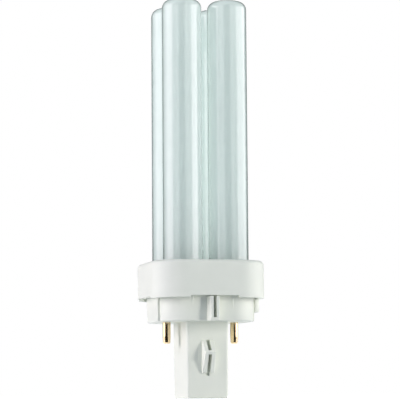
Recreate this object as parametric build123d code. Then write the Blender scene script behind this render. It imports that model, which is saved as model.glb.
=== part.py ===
from build123d import *
import os
from math import radians, tan

# Two-pin compact fluorescent lamp: four joined glass limbs in a plug-in cap.
# Millimetres and degrees. The origin is the middle of the post's free end, +Z
# runs up the limbs, the contact pins stand along X and the front is -Y.

# Overall
OVERALL_HEIGHT = 118.0

# Glass discharge tube
TUBE_DIAMETER = 11.7
LIMB_SPACING = 13.9
TUBE_SHOULDER = 2.4
TUBE_CROWN = 0.35
TUBE_FOOT_RADIUS = 1.5
BRIDGE_DIAMETER = 7.0
TOP_BRIDGE_DROP = 8.0
LOW_BRIDGE_RISE = 7.0
PINCH_WIDTH = 6.0
PINCH_THICKNESS = 2.4
PINCH_LENGTH = 4.0
LEAD_PITCH = 3.0

# Contact pins
PIN_SPACING = 20.7
PIN_DIAMETER = 2.35
PIN_REACH = 6.3
PIN_TIP_DIAMETER = 2.1
PIN_TIP_LENGTH = 2.1
PIN_TIP_ROUND = 0.5
PIN_SEAT_STEP = 0.2
PIN_HEAD_DIAMETER = 3.8
PIN_HEAD_HEIGHT = 0.8
PIN_STUB_DIAMETER = 1.7
PIN_STUB_HEIGHT = 1.8
PIN_FIT = 0.02

# Post, which carries the starter and the two retention wedges
POST_WIDTH = 12.3
POST_DEPTH = 16.1
POST_LENGTH = 22.4
POST_DRAFT = 0.6
POST_EDGE_RADIUS = 0.6
POST_END_RADIUS = 0.4
POST_WALL = 1.4
POST_END_WALL = 1.6

# Retention wedges on the front and rear of the post
WEDGE_FOOT_WIDTH = 3.7
WEDGE_TIP_WIDTH = 3.1
WEDGE_REACH = 3.4
WEDGE_START = 7.5
WEDGE_LOWER_RAMP = 5.85
WEDGE_UPPER_RAMP = 3.65
WEDGE_LOWER_END = 0.8
WEDGE_UPPER_END = 0.3
WEDGE_ROOT = 0.5
WEDGE_SLOT = 1.0
WEDGE_SLOT_SINK = 0.8
WEDGE_SLOT_RUNOUT = 0.9
WEDGE_BRIDGE = 1.2
WEDGE_EDGE_RADIUS = 0.2

# Lower housing
HOUSING_EXPOSED = 6.7
HOUSING_WALL = 1.5
HOUSING_FLOOR = 1.6
HOUSING_DRAFT = 1.2
HOUSING_CORNER_RADIUS = 7.3
HOUSING_EDGE_RADIUS = 0.5
PIN_TO_SIDE = 4.4
PLATE_STEP = 0.6
SIDE_PLATE_WIDTH = 14.0
FLANGE_THICKNESS = 1.5
FLANGE_CLEARANCE = 0.15

# Key ribs and crush beads on the front and rear of the lower housing
RIB_FOOT_WIDTH = 3.65
RIB_TIP_WIDTH = 2.6
RIB_GAP = 0.2
RIB_SLOT = 0.9
RIB_SLOT_DEPTH = 2.6
RIB_SLOT_FLOOR = 0.9
RIB_EDGE_RADIUS = 0.25
BEAD_PITCH = 12.1
BEAD_DIAMETER = 0.7
BEAD_LENGTH = 6.0
BEAD_LEAN = 3.9

# Collar
COLLAR_HEIGHT = 11.0
COLLAR_PLATE = 2.0
COLLAR_CORNER_RADIUS = 9.1
COLLAR_TOP_RADIUS = 1.2
COLLAR_RIM_RADIUS = 0.25
SKIRT_WALL = 1.5
SKIRT_OVERLAP = 3.4
SIDE_PLATE_GAP = 0.75
NOTCH_WIDTH = 14.5
NOTCH_HEIGHT = 0.6
TONGUE_WIDTH = 9.8
TONGUE_LENGTH = 3.8
TONGUE_SIDE_RADIUS = 1.1
TONGUE_EDGE_RADIUS = 0.3
LEDGE_WIDTH = 6.0
LIMB_HOLE_CLEARANCE = 0.25
LEDGE_CLEARANCE = 0.8

# Cement that holds the glass in the collar
LIMB_END_CLEARANCE = 2.0
CEMENT_DEPTH = 3.0
CEMENT_CORNER_RADIUS = 6.0
CEMENT_FIT = 0.05

# Starter, capacitor and lead wires inside the cap
STARTER_DIAMETER = 7.0
STARTER_HEIGHT = 18.0
STARTER_EDGE_RADIUS = 1.6
STARTER_LEAD_PITCH = 2.6
STARTER_WALL_GAP = 0.4
CAPACITOR_WIDTH = 6.4
CAPACITOR_THICKNESS = 3.4
CAPACITOR_HEIGHT = 10.0
CAPACITOR_EDGE_RADIUS = 0.6
CAPACITOR_GAP = 0.6
CAPACITOR_LEAD_RISE = 1.6
WIRE_DIAMETER = 0.5
WIRE_BEND = 0.4
WIRE_FIT = 0.05

# Heights and half sizes that follow from the values above
TUBE_RADIUS = TUBE_DIAMETER / 2
LIMB_PLACE = LIMB_SPACING / 2
CLUSTER_HALF = LIMB_PLACE + TUBE_RADIUS
PIN_PLACE = PIN_SPACING / 2
PIN_SEAT_RADIUS = PIN_DIAMETER / 2 + PIN_SEAT_STEP
FLOOR_TOP = POST_LENGTH + HOUSING_FLOOR
RIM = POST_LENGTH + HOUSING_EXPOSED
NOTCH_TOP = RIM + NOTCH_HEIGHT
FLANGE_TOP = RIM + SKIRT_OVERLAP
FLANGE_UNDER = FLANGE_TOP - FLANGE_THICKNESS
COLLAR_TOP = RIM + COLLAR_HEIGHT
PLATE_UNDER = COLLAR_TOP - COLLAR_PLATE
LIMB_END = FLANGE_TOP + LIMB_END_CLEARANCE
PINCH_END = LIMB_END - PINCH_LENGTH
PIN_TOP = FLOOR_TOP + PIN_HEAD_HEIGHT + PIN_STUB_HEIGHT
STARTER_TOP = POST_END_WALL + STARTER_HEIGHT
WEDGE_APEX = WEDGE_START + WEDGE_LOWER_RAMP
WEDGE_STOP = WEDGE_APEX + WEDGE_UPPER_RAMP

SIDE_PLATE_HALF = PIN_PLACE + PIN_TO_SIDE
HOUSING_HALF = SIDE_PLATE_HALF - PLATE_STEP
SKIRT_INNER = SIDE_PLATE_HALF + SIDE_PLATE_GAP
COLLAR_HALF = SKIRT_INNER + SKIRT_WALL
LEDGE_INNER = CLUSTER_HALF + LEDGE_CLEARANCE
POST_CAVITY_X = POST_WIDTH - 2 * POST_WALL
POST_CAVITY_Y = POST_DEPTH - 2 * POST_WALL
STARTER_Y = STARTER_DIAMETER / 2 + STARTER_WALL_GAP - POST_CAVITY_Y / 2
CAPACITOR_Y = STARTER_Y + STARTER_DIAMETER / 2 + CAPACITOR_GAP + CAPACITOR_THICKNESS / 2

FOUR_LIMBS = [(x, y) for x in (-LIMB_PLACE, LIMB_PLACE) for y in (-LIMB_PLACE, LIMB_PLACE)]


def rounded_block(width, depth, radius, low, high):
    """Upright block with rounded corners between two heights."""
    return extrude(Pos(0, 0, low) * RectangleRounded(width, depth, radius), amount=high - low)


def box_between(x, y, z):
    """Box given by its lowest and highest value along each axis."""
    size = [high - low for low, high in (x, y, z)]
    middle = [(high + low) / 2 for low, high in (x, y, z)]
    return Pos(*middle) * Box(*size)


def tapered_prism(foot_width, tip_width, foot_y, tip_y, low, high):
    """Upright prism, narrower at its tip, that stands out from foot_y towards the front."""
    plan = Polygon((-foot_width / 2, foot_y), (foot_width / 2, foot_y),
                   (tip_width / 2, tip_y), (-tip_width / 2, tip_y), align=None)
    return extrude(Pos(0, 0, low) * plan, amount=high - low, dir=(0, 0, 1))


def front_and_rear(*shapes):
    """The shapes and their copies turned half way round the lamp's axis."""
    return [*shapes, *(Rot(0, 0, 180) * shape for shape in shapes)]


def limb():
    """One straight limb with a softly crowned end, drawn in half section and turned."""
    top = (0, OVERALL_HEIGHT)
    shoulder = (TUBE_RADIUS, OVERALL_HEIGHT - TUBE_CROWN)
    sides = Polyline(top, (0, LIMB_END), (TUBE_RADIUS, LIMB_END), shoulder)
    crown = TangentArc(top, shoulder, tangent=(1, 0))
    section = make_face(sides + crown)
    foot_corner = section.vertices().sort_by(Axis.Y).filter_by(lambda v: v.X > TUBE_RADIUS / 2)[0]
    section = fillet(foot_corner, TUBE_FOOT_RADIUS)
    shoulder_corner = section.vertices().sort_by(Axis.Y).filter_by(lambda v: v.X > TUBE_RADIUS / 2)[-1]
    section = fillet(shoulder_corner, TUBE_SHOULDER)
    return revolve(Plane.XZ * section, axis=Axis.Z)


def discharge_tube():
    """Four limbs, the three short bridges that join them into one arc path, and two pinch seals."""
    one_limb = limb()
    tube = Part() + [Pos(x, y, 0) * one_limb for x, y in FOUR_LIMBS]
    bridge = Cylinder(BRIDGE_DIAMETER / 2, LIMB_SPACING)
    top_bridge = Pos(0, 0, OVERALL_HEIGHT - TOP_BRIDGE_DROP) * Rot(90, 0, 0) * bridge
    low_bridge = Pos(0, LIMB_PLACE, COLLAR_TOP + LOW_BRIDGE_RISE) * Rot(0, 90, 0) * bridge
    pinch = box_between((-PINCH_WIDTH / 2, PINCH_WIDTH / 2), (-PINCH_THICKNESS / 2, PINCH_THICKNESS / 2),
                        (PINCH_END, LIMB_END + TUBE_FOOT_RADIUS))
    tube += low_bridge
    for side in (-1, 1):
        tube += Pos(side * LIMB_PLACE, 0, 0) * top_bridge
        tube += Pos(side * LIMB_PLACE, -LIMB_PLACE, 0) * pinch
    return tube


def collar():
    """Square collar with round corners: a plate round the limbs, a notched skirt and one hanging tongue."""
    side = 2 * COLLAR_HALF
    shell = rounded_block(side, side, COLLAR_CORNER_RADIUS, RIM, COLLAR_TOP)
    shell = fillet(shell.faces().sort_by(Axis.Z)[-1].edges(), COLLAR_TOP_RADIUS)
    shell = fillet(shell.faces().sort_by(Axis.Z)[0].edges(), COLLAR_RIM_RADIUS)
    inner = 2 * SKIRT_INNER
    shell -= rounded_block(inner, inner, COLLAR_CORNER_RADIUS - SKIRT_WALL, RIM, PLATE_UNDER)
    ledge = box_between((LEDGE_INNER, SKIRT_INNER + SKIRT_WALL / 2), (-LEDGE_WIDTH / 2, LEDGE_WIDTH / 2),
                        (FLANGE_TOP, PLATE_UNDER + COLLAR_PLATE / 2))
    shell += [Rot(0, 0, turn) * ledge for turn in (0, 90, 180, 270)]
    notch = box_between((-NOTCH_WIDTH / 2, NOTCH_WIDTH / 2),
                        (-COLLAR_HALF - SKIRT_WALL, -SKIRT_INNER + SKIRT_WALL),
                        (RIM - NOTCH_HEIGHT, NOTCH_TOP))
    shell -= [Rot(0, 0, turn) * notch for turn in (0, 180, 270)]
    tongue = box_between((SKIRT_INNER, COLLAR_HALF), (-TONGUE_WIDTH / 2, TONGUE_WIDTH / 2),
                         (RIM - TONGUE_LENGTH, RIM + SKIRT_WALL))
    tongue = fillet(tongue.faces().sort_by(Axis.X)[-1].edges().filter_by(Axis.Z), TONGUE_SIDE_RADIUS)
    shell += fillet(tongue.faces().sort_by(Axis.Z)[0].edges(), TONGUE_EDGE_RADIUS)
    hole = Cylinder(TUBE_RADIUS + LIMB_HOLE_CLEARANCE, 2 * COLLAR_HEIGHT)
    shell -= [Pos(x, y, COLLAR_TOP) * hole for x, y in FOUR_LIMBS]
    return shell


def tube_cement():
    """Pad of cement under the collar's plate, between the ledges and round the four limbs."""
    side = 2 * LEDGE_INNER
    pad = rounded_block(side, side, CEMENT_CORNER_RADIUS, PLATE_UNDER - CEMENT_DEPTH, PLATE_UNDER)
    bore = Cylinder(TUBE_RADIUS + CEMENT_FIT, 2 * COLLAR_HEIGHT)
    return pad - [Pos(x, y, PLATE_UNDER) * bore for x, y in FOUR_LIMBS]


def drafted_block(width, depth, radius):
    """Part of the lower housing's outside: drafted towards its underside, whose edge is rounded."""
    height = FLANGE_UNDER - POST_LENGTH
    plan = RectangleRounded(width, depth, radius) if radius else Rectangle(width, depth)
    block = extrude(Pos(0, 0, FLANGE_UNDER) * plan, amount=height, dir=(0, 0, -1), taper=HOUSING_DRAFT)
    return fillet(block.faces().sort_by(Axis.Z)[0].edges(), HOUSING_EDGE_RADIUS)


def post_block():
    """Outside of the post, wider at its root by its draft."""
    foot = RectangleRounded(POST_WIDTH, POST_DEPTH, POST_EDGE_RADIUS)
    block = extrude(foot, amount=POST_LENGTH + HOUSING_FLOOR / 2, taper=-POST_DRAFT)
    return fillet(block.faces().sort_by(Axis.Z)[0].edges(), POST_END_RADIUS)


def retention_wedge(face_y):
    """Ramped wedge with softened edges on the front of the post, before its slots are cut."""
    root_y = face_y + WEDGE_ROOT
    tip_y = face_y - WEDGE_REACH
    ramps = Polygon((root_y, WEDGE_START), (face_y - WEDGE_LOWER_END, WEDGE_START), (tip_y, WEDGE_APEX),
                    (face_y - WEDGE_UPPER_END, WEDGE_STOP), (root_y, WEDGE_STOP), align=None)
    side_view = extrude(Plane.YZ * ramps, amount=WEDGE_FOOT_WIDTH, both=True)
    front_view = tapered_prism(WEDGE_FOOT_WIDTH, WEDGE_TIP_WIDTH, root_y, tip_y, WEDGE_START, WEDGE_STOP)
    wedge = side_view & front_view
    ramp_edges = wedge.edges().filter_by(lambda edge: edge.center().Y < face_y - WEDGE_LOWER_END)
    return fillet(ramp_edges, WEDGE_EDGE_RADIUS)


def wedge_slots(face_y):
    """Two slots, up and down from the bridge at the apex. The lower one runs past the wedge's end."""
    across = (-WEDGE_SLOT / 2, WEDGE_SLOT / 2)
    depth = (face_y - WEDGE_REACH, face_y + WEDGE_SLOT_SINK)
    lower = box_between(across, depth, (WEDGE_START - WEDGE_SLOT_RUNOUT, WEDGE_APEX - WEDGE_BRIDGE / 2))
    upper = box_between(across, depth, (WEDGE_APEX + WEDGE_BRIDGE / 2, WEDGE_STOP))
    return lower + upper


def key_rib():
    """Drafted rib on the housing's front, flush with the collar and slotted from its top."""
    foot_y = -HOUSING_HALF + HOUSING_WALL
    top = NOTCH_TOP - RIB_GAP
    rib = tapered_prism(RIB_FOOT_WIDTH, RIB_TIP_WIDTH, foot_y, -COLLAR_HALF, POST_LENGTH, top)
    rib = fillet(rib.faces().sort_by(Axis.Y)[0].edges(), RIB_EDGE_RADIUS)
    slot = box_between((-RIB_SLOT / 2, RIB_SLOT / 2), (-COLLAR_HALF, -COLLAR_HALF + RIB_SLOT_DEPTH),
                       (POST_LENGTH + RIB_SLOT_FLOOR, top))
    return rib - slot


def crush_beads():
    """Pair of thin beads on the housing's front that lean back into the wall and run out downwards."""
    bead = Pos(0, 0, -BEAD_LENGTH / 2) * Cylinder(BEAD_DIAMETER / 2, BEAD_LENGTH)
    leaning = Pos(0, -HOUSING_HALF, FLANGE_UNDER) * Rot(HOUSING_DRAFT + BEAD_LEAN, 0, 0) * bead
    return [Pos(side * BEAD_PITCH / 2, 0, 0) * leaning for side in (-1, 1)]


def base_housing():
    """Lower housing and hollow post, moulded in one, with side plates, flange, ribs and wedges."""
    housing = drafted_block(2 * HOUSING_HALF, 2 * HOUSING_HALF, HOUSING_CORNER_RADIUS)
    housing += drafted_block(2 * SIDE_PLATE_HALF, SIDE_PLATE_WIDTH, 0)
    flange_half = SKIRT_INNER - FLANGE_CLEARANCE
    flange_radius = COLLAR_CORNER_RADIUS - SKIRT_WALL - FLANGE_CLEARANCE
    housing += rounded_block(2 * flange_half, 2 * flange_half, flange_radius, FLANGE_UNDER, FLANGE_TOP)
    housing += front_and_rear(key_rib())
    housing += front_and_rear(*crush_beads())
    housing += post_block()
    wedge_face = -(POST_DEPTH / 2 + WEDGE_APEX * tan(radians(POST_DRAFT)))
    housing += front_and_rear(retention_wedge(wedge_face))
    housing -= front_and_rear(wedge_slots(wedge_face))
    foot_inset = (FLANGE_UNDER - POST_LENGTH) * tan(radians(HOUSING_DRAFT))
    cavity = 2 * (HOUSING_HALF - HOUSING_WALL - foot_inset)
    cavity_radius = HOUSING_CORNER_RADIUS - HOUSING_WALL
    housing -= rounded_block(cavity, cavity, cavity_radius, FLOOR_TOP, FLANGE_TOP)
    housing -= box_between((-POST_CAVITY_X / 2, POST_CAVITY_X / 2),
                           (-POST_CAVITY_Y / 2, POST_CAVITY_Y / 2), (POST_END_WALL, FLOOR_TOP))
    pin_hole = Pos(0, 0, POST_LENGTH) * Cylinder(PIN_SEAT_RADIUS + PIN_FIT, 4 * HOUSING_FLOOR)
    housing -= [Pos(side * PIN_PLACE, 0, 0) * pin_hole for side in (-1, 1)]
    return housing


def contact_pin(side):
    """Turned pin with a rounded, slightly tapered tip, a thicker seat in the floor, a head and a stub."""
    tip = POST_LENGTH - PIN_REACH
    head_top = FLOOR_TOP + PIN_HEAD_HEIGHT
    outline = Polyline((0, tip), (PIN_TIP_DIAMETER / 2, tip), (PIN_DIAMETER / 2, tip + PIN_TIP_LENGTH),
                       (PIN_DIAMETER / 2, POST_LENGTH), (PIN_SEAT_RADIUS, POST_LENGTH),
                       (PIN_SEAT_RADIUS, FLOOR_TOP), (PIN_HEAD_DIAMETER / 2, FLOOR_TOP),
                       (PIN_HEAD_DIAMETER / 2, head_top), (PIN_STUB_DIAMETER / 2, head_top),
                       (PIN_STUB_DIAMETER / 2, PIN_TOP), (0, PIN_TOP), close=True)
    section = make_face(outline)
    tip_corner = section.vertices().group_by(Axis.Y)[0].sort_by(Axis.X)[-1]
    section = fillet(tip_corner, PIN_TIP_ROUND)
    return Pos(side * PIN_PLACE, 0, 0) * revolve(Plane.XZ * section, axis=Axis.Z)


def glow_starter():
    """Glass starter bulb that stands on the floor of the post."""
    bulb = Cylinder(STARTER_DIAMETER / 2, STARTER_HEIGHT)
    bulb = fillet(bulb.edges().filter_by(GeomType.CIRCLE), STARTER_EDGE_RADIUS)
    return Pos(0, STARTER_Y, POST_END_WALL + STARTER_HEIGHT / 2) * bulb


def wire(points):
    """Round wire through the points. Each bend's radius is a share of the shorter run beside it."""
    path = [Vector(*point) for point in points]
    runs = [(after - before).length for before, after in zip(path, path[1:])]
    bends = [WIRE_BEND * min(before, after) for before, after in zip(runs, runs[1:])]
    line = FilletPolyline(*path, radius=bends)
    start = Plane(origin=path[0], z_dir=path[1] - path[0])
    return sweep(start * Circle(WIRE_DIAMETER / 2), path=line)


def starter_capacitor():
    """Small capacitor beside the starter, with two leads that bend over to the starter's wires."""
    top = POST_END_WALL + CAPACITOR_HEIGHT
    block = Box(CAPACITOR_WIDTH, CAPACITOR_THICKNESS, CAPACITOR_HEIGHT)
    block = fillet(block.edges().filter_by(Axis.Z), CAPACITOR_EDGE_RADIUS)
    block = Pos(0, CAPACITOR_Y, POST_END_WALL + CAPACITOR_HEIGHT / 2) * block
    joint_z = STARTER_TOP + CAPACITOR_LEAD_RISE
    joint_y = STARTER_Y + WIRE_DIAMETER / 2 + WIRE_FIT
    for side in (-1, 1):
        x = side * STARTER_LEAD_PITCH / 2
        block += wire([(x, CAPACITOR_Y, top), (x, CAPACITOR_Y, joint_z), (x, joint_y, joint_z)])
    return block


def pin_wire(side):
    """Lead from the outer foot of one pinch seal to the top of the pin on its side."""
    seal = side * (LIMB_PLACE + LEAD_PITCH / 2), -LIMB_PLACE
    pin = side * PIN_PLACE, 0
    level = (PINCH_END + PIN_TOP) / 2
    return wire([(*seal, PINCH_END), (*seal, level), (*pin, level), (*pin, PIN_TOP)])


def starter_wire(side):
    """Lead from the inner foot of one pinch seal to the starter."""
    seal = side * (LIMB_PLACE - LEAD_PITCH / 2), -LIMB_PLACE
    starter = side * STARTER_LEAD_PITCH / 2, STARTER_Y
    level = (PINCH_END + STARTER_TOP) / 2
    return wire([(*seal, PINCH_END), (*seal, level), (*starter, level), (*starter, STARTER_TOP)])


def build():
    """Every piece of the lamp, by the name of its node."""
    pieces = {
        "discharge_tube": discharge_tube(),
        "tube_cement": tube_cement(),
        "collar": collar(),
        "base_housing": base_housing(),
        "glow_starter": glow_starter(),
        "starter_capacitor": starter_capacitor(),
    }
    for name, side in (("left", -1), ("right", 1)):
        pieces[f"contact_pin_{name}"] = contact_pin(side)
        pieces[f"lead_wire_{name}_pin"] = pin_wire(side)
        pieces[f"lead_wire_{name}_starter"] = starter_wire(side)
    return pieces


os.makedirs("parts", exist_ok=True)
for node, piece in build().items():
    export_step(piece, f"parts/{node}.step")
    print(node, round(piece.volume, 2), "mm3")
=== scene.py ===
# %% [markdown]
# # A plug-in fluorescent lamp
# The lamp has four glass limbs on a white moulded cap with two brass pins. Its solids were
# drawn to size in CAD, so this lesson starts from them and adds what a solid can't say: how
# each surface takes the light. Everything is in metres, in the frame of the CAD model.

# %% Load the solids
from math import cos, radians, sin

import bmesh
import bpy
from mathutils import Matrix, Vector

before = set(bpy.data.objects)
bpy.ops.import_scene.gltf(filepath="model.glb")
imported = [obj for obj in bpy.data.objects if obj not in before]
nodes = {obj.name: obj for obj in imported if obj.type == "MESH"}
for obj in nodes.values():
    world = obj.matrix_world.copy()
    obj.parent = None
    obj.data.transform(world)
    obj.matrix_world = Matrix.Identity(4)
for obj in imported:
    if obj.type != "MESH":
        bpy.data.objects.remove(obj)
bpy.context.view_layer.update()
print("solids:", ", ".join(sorted(nodes)))

# %% [markdown]
# ## The camera
# The lamp was photographed with a long lens from just above the table, a little to the left
# of its front. A direction round the lamp is easiest to say as an azimuth, which is 0 at the
# front and grows to the right, and an elevation. The same helper places the lights later on.


# %% Place the camera
def direction(azimuth, elevation):
    """Unit vector from the lamp towards a place round it, in degrees."""
    a, e = radians(azimuth), radians(elevation)
    return Vector((sin(a) * cos(e), -cos(a) * cos(e), sin(e)))


VIEW_AZIMUTH = -14.72
VIEW_ELEVATION = -5.95
VIEW_DISTANCE = 0.5589
VIEW_ROLL = -0.415
AIM_HEIGHT = 0.059
AIM_TO_THE_RIGHT = 0.00012
SENSOR_WIDTH_MM = 36
LENS_MM = 168.2
NEAREST_SEEN = 0.01

aim = Vector((0, 0, AIM_HEIGHT)) + AIM_TO_THE_RIGHT * direction(VIEW_AZIMUTH + 90, 0)
eye = aim + VIEW_DISTANCE * direction(VIEW_AZIMUTH, VIEW_ELEVATION)

camera = bpy.data.objects.new("camera", bpy.data.cameras.new("camera"))
bpy.context.scene.collection.objects.link(camera)
camera.data.sensor_width = SENSOR_WIDTH_MM
camera.data.lens = LENS_MM
camera.data.clip_start = NEAREST_SEEN
look = (aim - eye).to_track_quat("-Z", "Y").to_matrix().to_4x4()
camera.matrix_world = Matrix.Translation(eye) @ look @ Matrix.Rotation(radians(VIEW_ROLL), 4, "Z")
bpy.context.scene.camera = camera
print("the eye is", round(eye.z * 1000, 2), "mm above the table")

# %% [markdown]
# ## A finish and how it gets on a solid
# Every finish is a node tree on Object coordinates, so its grain has a real size in metres and
# stays put when the lamp is seen from another side. A UV map could carry it too, but each solid
# would have to be unwrapped first. The first helper starts such a tree, and the second gives it
# to solids.


# %% Start a finish
def new_finish(name):
    """A material with only a shader, and the node tree to add to."""
    finish = bpy.data.materials.new(name)
    finish.use_nodes = True
    tree = finish.node_tree
    shader = tree.nodes["Principled BSDF"]
    place = tree.nodes.new("ShaderNodeTexCoord")
    return finish, tree, shader, place.outputs["Object"]


def paint(finish, *names):
    """Give solids a finish in place of the plain one they came with."""
    for name in names:
        nodes[name].data.materials.clear()
        nodes[name].data.materials.append(finish)
    print(finish.name, "on", ", ".join(names))


print(len(nodes), "solids wait for a finish")

# %% [markdown]
# ## Surfaces that aren't quite even
# No real surface has one colour and one polish all over. A noise drifts slowly from place to place,
# and its values lie mostly between 0.3 and 0.7, so that is the part of it that gets spread over the
# two shades of a colour, or over the smoothest and the roughest spot.


# %% Let colours and polish drift
NOISE_DETAIL = 3
NOISE_LOW, NOISE_HIGH = 0.3, 0.7


def grain(tree, place, size):
    """Noise whose features are about size metres across."""
    noise = tree.nodes.new("ShaderNodeTexNoise")
    noise.inputs["Scale"].default_value = 1 / size
    noise.inputs["Detail"].default_value = NOISE_DETAIL
    tree.links.new(place, noise.inputs["Vector"])
    return noise.outputs["Fac"]


def shades(tree, factor, dark, light):
    """A colour that follows a noise from dark to light."""
    ramp = tree.nodes.new("ShaderNodeValToRGB")
    ramp.color_ramp.elements[0].position = NOISE_LOW
    ramp.color_ramp.elements[0].color = (*dark, 1)
    ramp.color_ramp.elements[1].position = NOISE_HIGH
    ramp.color_ramp.elements[1].color = (*light, 1)
    tree.links.new(factor, ramp.inputs["Fac"])
    return ramp.outputs["Color"]


def drifting_colour(tree, shader, place, size, dark, light):
    """Base colour that drifts between two shades, in patches of a size."""
    tree.links.new(shades(tree, grain(tree, place, size), dark, light), shader.inputs["Base Color"])


def drifting_polish(tree, shader, place, size, smooth, rough):
    """Roughness that drifts between two values, in patches of a size."""
    spread = tree.nodes.new("ShaderNodeMapRange")
    spread.inputs["From Min"].default_value = NOISE_LOW
    spread.inputs["From Max"].default_value = NOISE_HIGH
    spread.inputs["To Min"].default_value = smooth
    spread.inputs["To Max"].default_value = rough
    tree.links.new(grain(tree, place, size), spread.inputs["Value"])
    tree.links.new(spread.outputs["Result"], shader.inputs["Roughness"])


print("noise is spread from", NOISE_LOW, "to", NOISE_HIGH)

# %% [markdown]
# ## The powder in the limbs
# A limb is a hollow glass tube with a thin white powder on its inside. The powder throws part of
# the light back and lets the larger part through, so the limbs glow with the white behind them.
# Subsurface scattering would take a limb for a solid and leave it dark between its neighbours, so
# a white base under a clear coat is mixed with a translucent shader. The powder is laid on wet and
# dries in faint clouds, which a slow noise makes.

# %% Coat the limbs with powder
LET_THROUGH = 0.6
CLOUD_SIZE = 0.004
GLASS_IOR = 1.52
GLASS_ROUGHNESS = 0.1

phosphor, tree, shader, place = new_finish("phosphor_under_glass")
clouds = grain(tree, place, CLOUD_SIZE)
powder_colour = shades(tree, clouds, (0.59, 0.655, 0.637), (0.62, 0.68, 0.662))
tree.links.new(powder_colour, shader.inputs["Base Color"])
drifting_polish(tree, shader, place, size=0.0005, smooth=0.55, rough=0.7)
shader.inputs["Specular IOR Level"].default_value = 0
shader.inputs["Coat Weight"].default_value = 1
shader.inputs["Coat Roughness"].default_value = GLASS_ROUGHNESS
shader.inputs["Coat IOR"].default_value = GLASS_IOR

glow = tree.nodes.new("ShaderNodeBsdfTranslucent")
glow_colour = shades(tree, clouds, (0.855, 0.925, 0.907), (0.875, 0.94, 0.922))
tree.links.new(glow_colour, glow.inputs["Color"])
wall = tree.nodes.new("ShaderNodeMixShader")
wall.inputs["Fac"].default_value = LET_THROUGH
tree.links.new(shader.outputs["BSDF"], wall.inputs[1])
tree.links.new(glow.outputs["BSDF"], wall.inputs[2])
print("the powder lets", LET_THROUGH, "of the light through")

# %% [markdown]
# ## The face of the glass
# Glass mirrors at both of its faces: a little where it looks at the eye, and nearly everything
# where it turns away. The clear coat alone gives too little of that, so a glossy layer comes on
# top, and a layer weight raised to a power says how much of it shows. An exported model keeps only
# the first shader of a mix, so the coat under it stays on.

# %% Lay the glass over the powder
MIRRORED_FACE_ON = 0.11
MIRROR_RISE = 3.5

turned_away = tree.nodes.new("ShaderNodeLayerWeight")
turned_away.inputs["Blend"].default_value = 0.5
rise = tree.nodes.new("ShaderNodeMath")
rise.operation = "POWER"
rise.inputs[1].default_value = MIRROR_RISE
tree.links.new(turned_away.outputs["Facing"], rise.inputs[0])
share = tree.nodes.new("ShaderNodeMath")
share.operation = "MULTIPLY_ADD"
share.inputs[1].default_value = 1 - MIRRORED_FACE_ON
share.inputs[2].default_value = MIRRORED_FACE_ON
tree.links.new(rise.outputs["Value"], share.inputs[0])
mirror = tree.nodes.new("ShaderNodeBsdfGlossy")
mirror.inputs["Roughness"].default_value = GLASS_ROUGHNESS
glass = tree.nodes.new("ShaderNodeMixShader")
tree.links.new(share.outputs["Value"], glass.inputs["Fac"])
tree.links.new(wall.outputs["Shader"], glass.inputs[1])
tree.links.new(mirror.outputs["BSDF"], glass.inputs[2])
tree.links.new(glass.outputs["Shader"], tree.nodes["Material Output"].inputs["Surface"])
paint(phosphor, "discharge_tube")

# %% [markdown]
# ## The white cap
# The collar and the lower housing are moulded from the same white plastic. The mould was
# polished but not to a mirror, so the skin is satin with a very fine uneven grain, and the
# white is a little warm and not quite even. The grain is far finer than the walls, so a relief
# under the shader shows it, and the solids keep their shape.


# %% Finish the cap
def relief(tree, shader, height, depth):
    """Bump of a given depth in metres under a shader."""
    bump = tree.nodes.new("ShaderNodeBump")
    bump.inputs["Strength"].default_value = 1
    bump.inputs["Distance"].default_value = depth
    tree.links.new(height, bump.inputs["Height"])
    tree.links.new(bump.outputs["Normal"], shader.inputs["Normal"])


MOULD_GRAIN_SIZE = 0.0003
MOULD_GRAIN_DEPTH = 0.000003

plastic, tree, shader, place = new_finish("white_moulded_plastic")
drifting_colour(tree, shader, place, size=0.006, dark=(0.85, 0.877, 0.785), light=(0.875, 0.90, 0.808))
drifting_polish(tree, shader, place, size=0.0015, smooth=0.42, rough=0.5)
relief(tree, shader, grain(tree, place, MOULD_GRAIN_SIZE), MOULD_GRAIN_DEPTH)
shader.inputs["IOR"].default_value = 1.5
paint(plastic, "collar", "base_housing")

# %% [markdown]
# ## The contact pins
# The pins are turned from brass rod and polished, and handling leaves the polish slightly uneven.
# The tool leaves fine rings round a pin. An anisotropic gloss could stand for them, but it needs
# tangents, and a wave along Z as a shallow relief needs none.

# %% Finish the pins
RING_SCALE = 900
RING_WANDER = 0.6
RING_DEPTH = 0.000001

brass, tree, shader, place = new_finish("turned_brass")
shader.inputs["Metallic"].default_value = 1
drifting_colour(tree, shader, place, size=0.001, dark=(0.80, 0.62, 0.37), light=(0.88, 0.71, 0.46))
drifting_polish(tree, shader, place, size=0.0006, smooth=0.1, rough=0.2)
rings = tree.nodes.new("ShaderNodeTexWave")
rings.bands_direction = "Z"
rings.inputs["Scale"].default_value = RING_SCALE
rings.inputs["Distortion"].default_value = RING_WANDER
tree.links.new(place, rings.inputs["Vector"])
relief(tree, shader, rings.outputs["Fac"], RING_DEPTH)
paint(brass, "contact_pin_left", "contact_pin_right")

# %% [markdown]
# ## What is hidden in the cap
# Cement, starter, capacitor and leads can't be seen while the cap is closed. They still get the
# finish of the real things, for whoever opens the model up. They are only millimetres across, so
# a drifting colour and polish are enough, with crumbs of relief on the cement.

# %% Finish the inner pieces
CRUMB_SIZE = 0.0008
CRUMB_DEPTH = 0.00006

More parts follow.
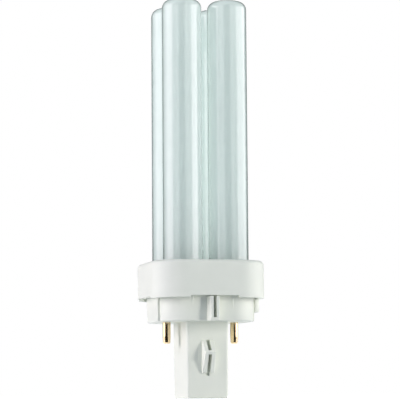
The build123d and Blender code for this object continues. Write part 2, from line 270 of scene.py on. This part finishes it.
cement, tree, shader, place = new_finish("dry_cement")
drifting_colour(tree, shader, place, size=0.002, dark=(0.70, 0.68, 0.60), light=(0.82, 0.80, 0.74))
drifting_polish(tree, shader, place, size=0.001, smooth=0.8, rough=0.95)
relief(tree, shader, grain(tree, place, CRUMB_SIZE), CRUMB_DEPTH)
paint(cement, "tube_cement")

starter_glass, tree, shader, place = new_finish("starter_glass")
drifting_colour(tree, shader, place, size=0.003, dark=(0.80, 0.86, 0.85), light=(0.88, 0.92, 0.91))
drifting_polish(tree, shader, place, size=0.001, smooth=0.03, rough=0.08)
shader.inputs["Transmission Weight"].default_value = 0.6
paint(starter_glass, "glow_starter")

dipped, tree, shader, place = new_finish("dipped_capacitor_case")
drifting_colour(tree, shader, place, size=0.002, dark=(0.58, 0.22, 0.05), light=(0.70, 0.30, 0.08))
drifting_polish(tree, shader, place, size=0.001, smooth=0.2, rough=0.32)
paint(dipped, "starter_capacitor")

tinned, tree, shader, place = new_finish("tinned_wire")
shader.inputs["Metallic"].default_value = 1
drifting_colour(tree, shader, place, size=0.001, dark=(0.62, 0.62, 0.60), light=(0.72, 0.72, 0.70))
drifting_polish(tree, shader, place, size=0.0004, smooth=0.25, rough=0.4)
paint(tinned, *(name for name in sorted(nodes) if name.startswith("lead_wire")))

# %% [markdown]
# ## The backdrop
# The lamp stands in front of white. A bright white world would light the lamp too and wash it out.
# So what the eye, a mirror or a glass sees of the world is white, and what lights the lamp is a
# weaker, cool fill, which gives the shadows on the cap their blue. The light path node tells these
# rays apart.


# %% Make the world
def seen_rays(tree):
    """1 for the rays that show the backdrop: straight from the eye, mirrored or through glass."""
    path = tree.nodes.new("ShaderNodeLightPath")
    either = path.outputs["Is Camera Ray"]
    for kind in ("Is Glossy Ray", "Is Transmission Ray"):
        join = tree.nodes.new("ShaderNodeMath")
        join.operation = "MAXIMUM"
        tree.links.new(either, join.inputs[0])
        tree.links.new(path.outputs[kind], join.inputs[1])
        either = join.outputs[0]
    return either


FILL = 0.12
FILL_COLOUR = (0.2, 0.8, 1.4, 1)

world = bpy.data.worlds.new("studio")
world.use_nodes = True
bpy.context.scene.world = world
tree = world.node_tree
tree.nodes.clear()
white = tree.nodes.new("ShaderNodeBackground")
white.inputs["Color"].default_value = (1, 1, 1, 1)
fill = tree.nodes.new("ShaderNodeBackground")
fill.inputs["Color"].default_value = FILL_COLOUR
fill.inputs["Strength"].default_value = FILL
choose = tree.nodes.new("ShaderNodeMixShader")
tree.links.new(seen_rays(tree), choose.inputs["Fac"])
tree.links.new(fill.outputs["Background"], choose.inputs[1])
tree.links.new(white.outputs["Background"], choose.inputs[2])
output = tree.nodes.new("ShaderNodeOutputWorld")
tree.links.new(choose.outputs["Shader"], output.inputs["Surface"])
print("fill", FILL, "of colour", FILL_COLOUR[:3])

# %% [markdown]
# ## The table
# The table is a matt white sheet that takes the lamp's shadow. For the rays that show the backdrop
# it adds a white of its own. That white grows with the distance from the lamp, so the shadow stays
# near the lamp and the far edge of the table doesn't show as a line.

# %% Lay the table
NEAR, FAR = 0.05, 0.3
WHITE_NEAR = 0.7
HALF_TABLE = 3
MATT = 0.9

table_top, tree, shader, place = new_finish("white_table")
drifting_colour(tree, shader, place, size=0.05, dark=(0.78, 0.78, 0.78), light=(0.82, 0.82, 0.82))
shader.inputs["Roughness"].default_value = MATT
shader.inputs["Specular IOR Level"].default_value = 0
shader.inputs["Emission Color"].default_value = (1, 1, 1, 1)
from_lamp = tree.nodes.new("ShaderNodeVectorMath")
from_lamp.operation = "LENGTH"
tree.links.new(place, from_lamp.inputs[0])
whiter = tree.nodes.new("ShaderNodeMapRange")
whiter.inputs["From Min"].default_value = NEAR
whiter.inputs["From Max"].default_value = FAR
whiter.inputs["To Min"].default_value = WHITE_NEAR
tree.links.new(from_lamp.outputs["Value"], whiter.inputs["Value"])
lift = tree.nodes.new("ShaderNodeMath")
lift.operation = "MULTIPLY"
tree.links.new(seen_rays(tree), lift.inputs[0])
tree.links.new(whiter.outputs["Result"], lift.inputs[1])
tree.links.new(lift.outputs[0], shader.inputs["Emission Strength"])

sheet = bmesh.new()
bmesh.ops.create_grid(sheet, x_segments=1, y_segments=1, size=HALF_TABLE)
table_mesh = bpy.data.meshes.new("table")
sheet.to_mesh(table_mesh)
sheet.free()
table = bpy.data.objects.new("table", table_mesh)
bpy.context.scene.collection.objects.link(table)
table.data.materials.append(table_top)
print("table", table.dimensions.x, "m across")

# %% [markdown]
# ## The lamps of the studio
# A soft box at the left draws the bright band down the first limb, and a narrow one beside it
# lights the left sides of the cap. The key is narrow too: it stands at the right of the camera and
# throws the shadows of the rib and the wedge to the left. A broad box further round draws the
# bright bands at the right of the limbs, and one behind shines through them. The boxes at the sides
# are a touch rosy and the key a touch warm, against the cool fill and the greenish glass. Three of
# the boxes stay out of the mirrors, as a polarising sheet over a lamp would have it, because the
# glass shows only two bands.


# %% Place the soft boxes
LIT_HEIGHT = 0.06


def soft_box(name, azimuth, elevation, distance, size, power, tint=(1, 1, 1), mirrored=True):
    """Area lamp of a width and height in metres that looks at the middle of the lamp."""
    light = bpy.data.lights.new(name, "AREA")
    light.shape = "RECTANGLE"
    light.size, light.size_y = size
    light.energy = power
    light.color = tint
    box = bpy.data.objects.new(name, light)
    bpy.context.scene.collection.objects.link(box)
    middle = Vector((0, 0, LIT_HEIGHT))
    place = middle + distance * direction(azimuth, elevation)
    aim_back = (middle - place).to_track_quat("-Z", "Y").to_matrix().to_4x4()
    box.matrix_world = Matrix.Translation(place) @ aim_back
    box.visible_glossy = mirrored
    box.visible_camera = False
    print(name, "at", [round(value, 3) for value in place], "with", power, "W")


ROSY = (1.08, 0.98, 1.02)
LILAC = (1.01, 0.95, 0.98)
WARM = (1.09, 1.03, 0.96)

soft_box("left_soft_box", azimuth=-94, elevation=8, distance=0.6,
         size=(0.48, 0.6), power=1.42, tint=ROSY)
soft_box("left_strip_box", azimuth=-82, elevation=6, distance=0.6,
         size=(0.16, 0.5), power=2.58, tint=ROSY, mirrored=False)
soft_box("key_strip_box", azimuth=42, elevation=3, distance=0.7,
         size=(0.16, 0.5), power=3.15, tint=WARM, mirrored=False)
soft_box("right_soft_box", azimuth=74, elevation=5, distance=0.7,
         size=(0.85, 0.6), power=2.75, tint=LILAC)
soft_box("back_soft_box", azimuth=165.3, elevation=8, distance=0.6,
         size=(0.8, 0.7), power=4.1, mirrored=False)

# %% [markdown]
# ## Dark cards
# Glass in front of white has no edge until something dark is mirrored in it. Studios stand black
# cards beside the backdrop, so that each limb gets a thin dark line down both sides. Painted lines
# would stay where they are when the lamp is seen from another side, and mirrored ones don't. A
# narrow card at the camera puts the soft grey stripe down the middle of each limb. A wide low one
# at the edge of the table and one that lies before the lamp put a dark band down the polished pins,
# to their tips. The cards are stage, and only mirrors see them.

# %% Make a dark card
black, tree, shader, place = new_finish("black_card")
drifting_colour(tree, shader, place, size=0.02, dark=(0.01, 0.01, 0.01), light=(0.02, 0.02, 0.02))
shader.inputs["Roughness"].default_value = MATT
shader.inputs["Specular IOR Level"].default_value = 0


def dark_card(name, middle, facing, width, height):
    """Flat card round a middle point that faces a direction and is seen only in mirrors."""
    card = bmesh.new()
    bmesh.ops.create_grid(card, x_segments=1, y_segments=1, size=0.5)
    bmesh.ops.scale(card, vec=(width, height, 1), verts=card.verts)
    turn = facing.to_track_quat("Z", "Y").to_matrix().to_4x4()
    bmesh.ops.transform(card, matrix=Matrix.Translation(middle) @ turn, verts=card.verts)
    mesh = bpy.data.meshes.new(name)
    card.to_mesh(mesh)
    card.free()
    board = bpy.data.objects.new(name, mesh)
    bpy.context.scene.collection.objects.link(board)
    board.data.materials.append(black)
    board.visible_camera = False
    board.visible_diffuse = False
    board.visible_shadow = False
    board.visible_transmission = False
    print(name, "spans", width, "by", height, "m")


def upright_card(name, azimuth, distance, width, height):
    """Dark card that stands on the table and faces the lamp."""
    outwards = direction(azimuth, 0)
    dark_card(name, distance * outwards + Vector((0, 0, height / 2)), -outwards, width, height)


print(black.name, "is ready for the cards")

# %% [markdown]
# ## Where the cards stand
# The edge of a limb mirrors what lies straight behind the lamp, so the two cards behind stand to the
# left and right of there and almost meet. The one on the table lies a hair above it, so that the two
# sheets don't flicker into each other.

# %% Stand the cards
CARD_HEIGHT = 0.9
TURN_FROM_BEHIND = 25
LOW_CARD_HEIGHT = 0.07
CARD_ON_TABLE_SIDE = 0.6
CARD_ON_TABLE_DISTANCE = 0.35
HAIR_ABOVE_TABLE = 0.0005

for side, turn in (("left", TURN_FROM_BEHIND - 180), ("right", 180 - TURN_FROM_BEHIND)):
    upright_card("card_behind_" + side, VIEW_AZIMUTH + turn,
                 distance=0.5, width=0.46, height=CARD_HEIGHT)
upright_card("card_at_camera", VIEW_AZIMUTH, distance=0.65, width=0.44, height=CARD_HEIGHT)
upright_card("card_at_table_edge", VIEW_AZIMUTH, distance=0.66, width=1.4, height=LOW_CARD_HEIGHT)
before_the_lamp = CARD_ON_TABLE_DISTANCE * direction(VIEW_AZIMUTH, 0)
dark_card("card_on_table", before_the_lamp + Vector((0, 0, HAIR_ABOVE_TABLE)), Vector((0, 0, 1)),
          CARD_ON_TABLE_SIDE, CARD_ON_TABLE_SIDE)

# %% [markdown]
# ## Finish
# The view transform is Standard, so that a colour renders as it is written.

# %% Set the view transform
bpy.context.scene.view_settings.view_transform = "Standard"
